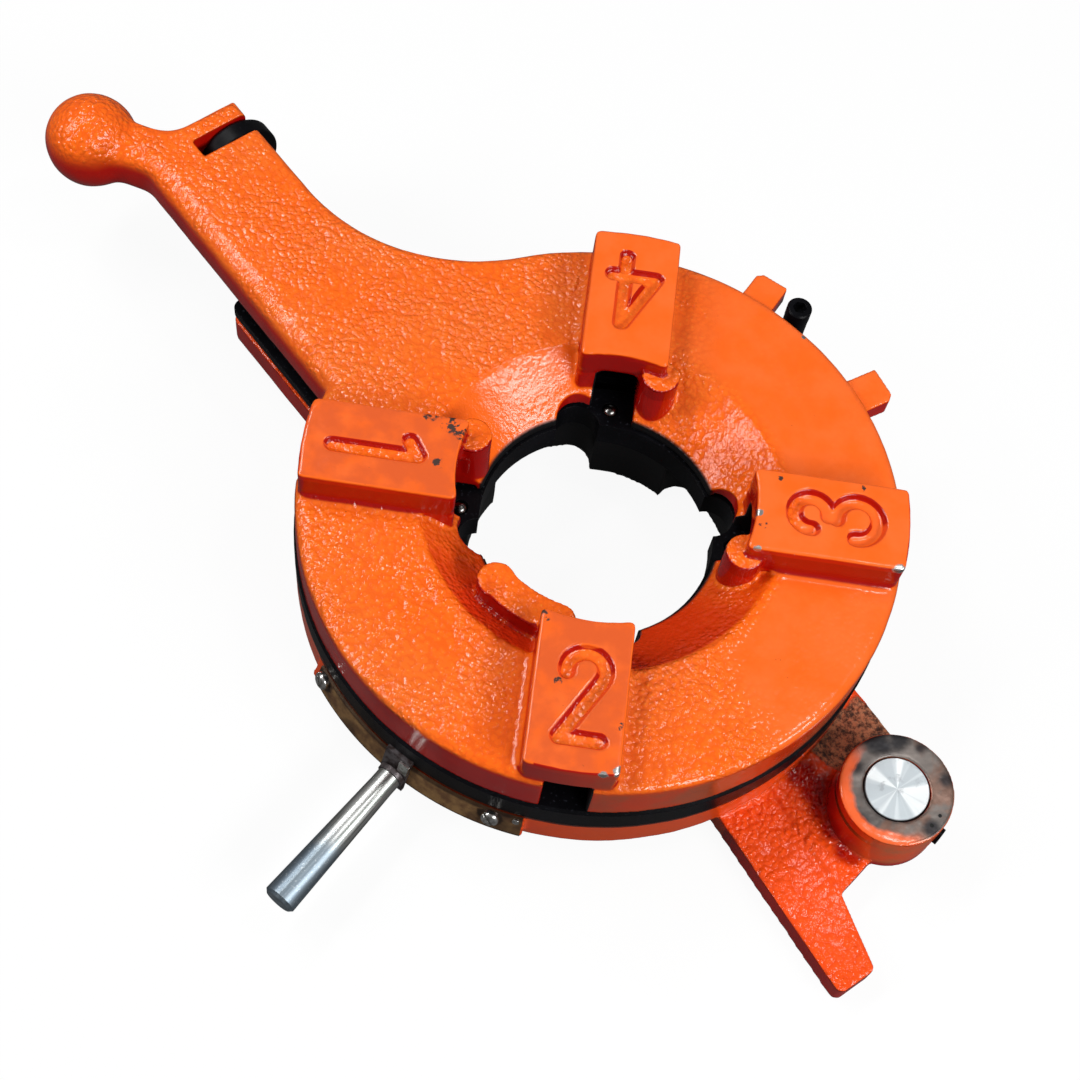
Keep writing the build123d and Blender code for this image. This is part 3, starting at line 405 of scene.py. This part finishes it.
VOXEL = 0.00062
ROUNDS = 3
STEP_IN, STEP_BACK = 0.55, -0.50
SOFTER_ROUNDS = 26
SOFTER_STEP = 0.6
HOLLOWS = 0.00012  # depth of the shallow hollows for each unit of noise
KEPT_FACES = 0.40


def applied(piece):
    """Replaces a piece's mesh by what its modifier makes of it."""
    bpy.context.view_layer.update()
    mesh = bpy.data.meshes.new_from_object(piece.evaluated_get(bpy.context.evaluated_depsgraph_get()))
    piece.modifiers.clear()
    piece.data = mesh
    return mesh


def vectors(mesh, name):
    values = np.empty(len(mesh.vertices) * 3, np.float32)
    mesh.vertices.foreach_get(name, values)
    return values.reshape(-1, 3).astype(float)


def move(mesh, points):
    mesh.vertices.foreach_set("co", points.astype(np.float32).ravel())
    mesh.update()


def cast(node, name, body, softer=None):
    """A casting's shape with its edges softened. softer gives more of it where it returns 1."""
    piece = bpy.data.objects.new(name, nodes[node].data.copy())
    scene.collection.objects.link(piece)
    remesh = piece.modifiers.new("skin", "REMESH")
    remesh.mode = "VOXEL"
    remesh.voxel_size = VOXEL
    shape = applied(piece)
    points = vectors(shape, "co")
    count = len(points)
    edges = np.empty(len(shape.edges) * 2, np.int32)
    shape.edges.foreach_get("vertices", edges)
    a, b = edges.reshape(-1, 2).T
    degree = np.bincount(a, minlength=count) + np.bincount(b, minlength=count)

    def step(points, weight):
        """Moves each point towards the middle of its neighbours."""
        total = np.empty_like(points)
        for axis in range(3):
            total[:, axis] = np.bincount(a, points[b, axis], count)
            total[:, axis] += np.bincount(b, points[a, axis], count)
        return points + (total / degree[:, None] - points) * weight[:, None]

    for _ in range(ROUNDS):
        for weight in (STEP_IN, STEP_BACK):
            points = step(points, np.full(count, weight))
    if softer:
        more = softer(points)
        for _ in range(SOFTER_ROUNDS):
            points = step(points, SOFTER_STEP * more)
    move(shape, points)
    hills = np.array([noise.noise(Vector(p) * 90.0) + 0.5 * noise.noise(Vector(p) * 210.0)
                      for p in points])
    sunk = np.clip(hills - 0.5, -2.0, 0.0) * HOLLOWS
    move(shape, points + vectors(shape, "normal") * sunk[:, None])
    piece.modifiers.new("fewer", "DECIMATE").ratio = KEPT_FACES
    shape = applied(piece)
    shape.polygons.foreach_set("use_smooth", np.ones(len(shape.polygons), bool))
    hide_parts(node)
    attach(piece, body)
    return piece


BLOCK_HALF_WIDTH = 13.75 * MM
BLOCK_SHIFT = 0.85 * MM
BLOCK_START = 45.0 * MM


def ramp(values, start, length):
    """0 up to start, 1 from start + length on, both in millimetres."""
    return np.clip((values - start * MM) / (length * MM), 0, 1)


def softer_front(points):
    """The arm's outer edge and the feet of the blocks are rounder than the rest."""
    along, side = (points @ np.array(axis) for axis in (ARM_DIRECTION, ARM_SIDE))
    softest = 0.8 * ramp(side, 38.0, 5.0) * ramp(along, 70.0, 8.0)
    height = points[:, 2]
    level = ramp(height, 50.0, 1.0) * ramp(-height, -54.0, 1.0)
    for angle in (0, 90, 180, 270):
        turn = radians(angle)
        out = points[:, 0] * cos(turn) + points[:, 1] * sin(turn)
        off = np.abs(points[:, 1] * cos(turn) - points[:, 0] * sin(turn) + BLOCK_SHIFT)
        gap = np.maximum(off - BLOCK_HALF_WIDTH, BLOCK_START - out)
        foot = ramp(-np.abs(gap), -2.6, 1.0) * level * (out > 30 * MM) * (out < 90.5 * MM)
        softest = np.maximum(softest, foot)
    return softest


front = cast("front_body", "front_casting", "front", softer_front)
rear = cast("rear_body", "rear_casting", "rear")
wear(front, orange_paint("orange_front", front_smooth, front_details, front_dark,
                         FRONT_CHIPS, FRONT_SCUFFS, FRONT_SHADED, pebble_scale=600, depth=0.70, red=0.0))
wear(rear, orange_paint("orange_rear", rear_smooth, rear_details, rear_dark,
                        [], REAR_SCUFFS, REAR_SHADED, pebble_scale=560, depth=0.95, red=0.75))


# Steel and brass

def black_oxide(name, bare):
    """Oily black steel. bare is the share of grey in the fine scratches."""
    f = Finish(name)
    f.round_edges(0.35)
    cloud = f.noise(70, 4)
    colour = f.colour(f.band(cloud, 0.3, 0.75), (0.0015, 0.0015, 0.002), (0.005, 0.005, 0.007))
    scratch = f.noise(900, 2, at=f.vector("MULTIPLY", f.point, (1, 1, 12)))
    colour = f.colour(f.product(f.band(scratch, 0.62, 0.75), bare), colour, (0.05, 0.055, 0.07))
    f.bump(scratch, 0.02)
    return f.done(Base_Color=colour, Roughness=f.value(cloud, 0.28, 0.42), IOR=1.18)


def turned_pin():
    """Turned end with painted sheen in light and dark sectors, stains, and painted shade in the gap
    round it.
    """
    f = Finish("turned_pin")
    flat = f.across(BOSS)
    ring = f.length(flat)
    # painted sheen: light and dark sectors round the axis
    sheen_sectors = f.noise(1.6, 2, at=f.vector("NORMALIZE", flat))
    colour = f.colour(f.band(sheen_sectors, 0.42, 0.60), (0.54, 0.60, 0.63), (0.92, 0.97, 0.98))
    stain = f.band(f.noise(260, 4, 0.6), 0.56, 0.70)
    colour = f.colour(f.product(stain, 0.5), colour, (0.30, 0.33, 0.36))
    # painted shade in the gap round the pin
    colour = f.colour(f.band(ring, 0.00955, 0.00985), colour, (0.006, 0.006, 0.007))
    f.bump(f.math("SINE", f.product(ring, 22000.0)), 0.005)
    f.put(f.shader.inputs["Tangent"], f.vector("NORMALIZE", f.vector("CROSS_PRODUCT", flat, (0, 0, 1))))
    return f.done(Base_Color=colour, Metallic=0.45, Roughness=0.34, Anisotropic=0.8)


def polished_rod():
    """Steel with long streaks, greyer towards its outer end."""
    f = Finish("polished_rod")
    direction = tuple(ROD_DIRECTION)
    along = f.dot(f.point, direction)
    scaled = f.add("ShaderNodeVectorMath", {0: direction, "Scale": along}, operation="SCALE")
    foot = scaled.outputs["Vector"]
    squeezed = f.vector("MULTIPLY", foot, (0.03, 0.03, 0.03))
    fibre = f.vector("ADD", f.vector("SUBTRACT", f.point, foot), squeezed)
    streak = f.noise(900, 3, 0.6, at=fibre)
    outer = f.band(f.math("ADD", along, f.wobble(90, 3, 0.01)), 0.120, 0.130)
    bright = f.colour(f.band(streak, 0.45, 0.62), (0.68, 0.69, 0.67), (0.30, 0.32, 0.30))
    cloud = f.band(f.noise(300, 4, 0.6, at=fibre), 0.4, 0.62)
    grey = f.colour(cloud, (0.34, 0.41, 0.46), (0.20, 0.25, 0.30))
    colour = f.colour(outer, bright, grey)
    specks = f.band(f.noise(1500, 2), 0.62, 0.7)
    colour = f.colour(f.product(specks, 0.4), colour, (0.75, 0.8, 0.82))
    f.bump(streak, 0.008)
    return f.done(Base_Color=colour, Metallic=1.0, Roughness=f.value(outer, 0.34, 0.45))


def bright_steel(name, level=1.0):
    """Clean steel. level is its brightness."""
    f = Finish(name)
    f.round_edges(0.2)
    colour = f.colour(f.band(f.noise(900, 3), 0.4, 0.7), (0.80, 0.79, 0.77), (0.35, 0.32, 0.29))
    colour = f.colour(level, (0.0, 0.0, 0.0), colour)
    return f.done(Base_Color=colour, Metallic=1.0, Roughness=0.24)


def brass_strip():
    """Dull brass with stains, and with painted shade along its edges and round the screws at both ends.
    """
    f = Finish("brass_strip")
    cloud = f.band(f.noise(230, 4, 0.6), 0.35, 0.68)
    colour = f.colour(cloud, (0.42, 0.235, 0.095), (0.20, 0.098, 0.045))
    stain = f.band(f.noise(90, 3), 0.50, 0.66)
    colour = f.colour(f.product(stain, 0.6), colour, (0.045, 0.024, 0.016))
    # painted shade along the strip's edges and round its screws
    edges = f.most(f.band(f.z, 0.0205, 0.0219), f.band(f.z, 0.0146, 0.0139))
    screw_shadows = f.spots([((-75.1, -57.4, 19.4), 4.6, 0.3), ((-20.0, -92.4, 19.4), 4.6, 0.3)])
    colour = f.colour(f.product(f.most(edges, screw_shadows), 0.85), colour, (0.020, 0.010, 0.007))
    f.bump(f.noise(1200, 2), 0.02)
    return f.done(Base_Color=colour, Metallic=0.55, Roughness=0.42)


def saddle_steel():
    f = Finish("saddle_steel")
    f.round_edges(0.3)
    cloud = f.band(f.noise(420, 4, 0.6), 0.35, 0.65)
    colour = f.colour(cloud, (0.030, 0.017, 0.015), (0.12, 0.105, 0.11))
    return f.done(Base_Color=colour, Metallic=0.5, Roughness=0.4)


for node in ("cam_disc", "stop_screw", "stop_sleeve", "pivot_set_screw", "saddle_screws", "guide_screws",
             "guide_washers", "roller_pin", "arm_roller"):
    wear(nodes[node], black_oxide("black_" + node, 0.5 if node == "cam_disc" else 0.2))
wear(nodes["pivot_pin"], turned_pin())
wear(nodes["size_rod"], polished_rod())
wear(nodes["scale_strip"], brass_strip())
wear(nodes["clamp_saddle"], saddle_steel())
plain_bright = bright_steel("bright_steel")
for node in ("strip_screws", "strip_rivet", "index_tab"):
    wear(nodes[node], plain_bright)
# darker steel for the detent balls
dim_ball = bright_steel("dim_ball", 0.25)
spring_wire = bright_steel("spring_wire")
for n in range(1, 5):
    wear(nodes[f"detent_ball_{n}"], dim_ball)
    coil = bpy.data.objects.new(f"spring_coil_{n}", nodes[f"detent_spring_{n}"].data.copy())
    scene.collection.objects.link(coil)
    wear(coil, spring_wire)
    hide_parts(f"detent_spring_{n}")
    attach(coil, "cam")
    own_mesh(coil)


# Floor, light and camera

FLOOR_WHITE, FLOOR_GLOSS = 0.93, 0.04  # glow of the floor for camera and for glossy rays
WORLD_LEVEL, WORLD_WHITE, WORLD_GLOSS = 0.12, 0.86, 0.08
LAMP_DISTANCE = 1.2


def pale_floor():
    """White to the camera apart from the object's shadow, and dark to the object itself."""
    material = bpy.data.materials.new("pale_floor")
    material.use_nodes = True
    f = Tree(material.node_tree)
    f.tree.nodes.clear()
    to_camera, to_gloss = f.rays()
    tone = f.colour(to_camera, (0.07, 0.07, 0.07), (0.90, 0.90, 0.90))
    diffuse = f.add("ShaderNodeBsdfDiffuse", {"Color": tone})
    glow = f.add("ShaderNodeEmission", {"Color": (1, 1, 1), "Strength": 1.0})
    share = f.math("MULTIPLY_ADD", to_camera, FLOOR_WHITE, f.product(to_gloss, FLOOR_GLOSS))
    mix = f.add("ShaderNodeMixShader", {0: share, 1: diffuse.outputs[0], 2: glow.outputs[0]})
    f.add("ShaderNodeOutputMaterial", {"Surface": mix.outputs[0]})
    return material


bpy.ops.mesh.primitive_plane_add(size=6.0)
floor = bpy.context.object
floor.name = "floor"
wear(floor, pale_floor())

world = bpy.data.worlds.new("studio")
scene.world = world
world.use_nodes = True
studio = Tree(world.node_tree)
to_camera, to_gloss = studio.rays()
strength = studio.math("MULTIPLY_ADD", to_gloss, WORLD_GLOSS, WORLD_LEVEL)
strength = studio.math("MULTIPLY_ADD", to_camera, WORLD_WHITE, strength)
backdrop = world.node_tree.nodes["Background"]
studio.put(backdrop.inputs["Color"], (1, 1, 1))
studio.put(backdrop.inputs["Strength"], strength)


def softbox(name, direction, size, watts):
    lamp = bpy.data.lights.new(name, "AREA")
    lamp.shape = "RECTANGLE"
    lamp.size, lamp.size_y = size
    lamp.energy = watts
    box = bpy.data.objects.new(name, lamp)
    scene.collection.objects.link(box)
    box.location = Vector(direction).normalized() * LAMP_DISTANCE
    box.rotation_euler = box.location.to_track_quat("Z", "Y").to_euler()


softbox("key_light", (-0.49, 0.25, 0.83), (0.65, 0.15), 5.6)
softbox("left_light", (-0.78, -0.14, 0.61), (0.30, 0.32), 3.8)
softbox("window_light", (0.60, -0.50, 0.60), (0.85, 0.24), 11.0)
softbox("spark_light", (0.33, 0.12, 0.94), (0.14, 0.14), 1.5)

scene.view_settings.view_transform = "Standard"
lens = bpy.data.cameras.new("camera")
lens.sensor_width = 36.0
lens.lens = 62.382
camera = bpy.data.objects.new("camera", lens)
scene.collection.objects.link(camera)
# the camera that was fitted to the photograph
place = Vector((-0.031552, -0.269474, 0.546829))
right = Vector((0.989015, 0.118132, 0.088846))
down = Vector((0.145573, -0.882692, -0.446837))
forward = Vector((0.025638, 0.454862, -0.890193))
turn = Matrix((right, -down, -forward)).transposed()
camera.matrix_world = Matrix.Translation(place) @ turn.to_4x4()
scene.camera = camera
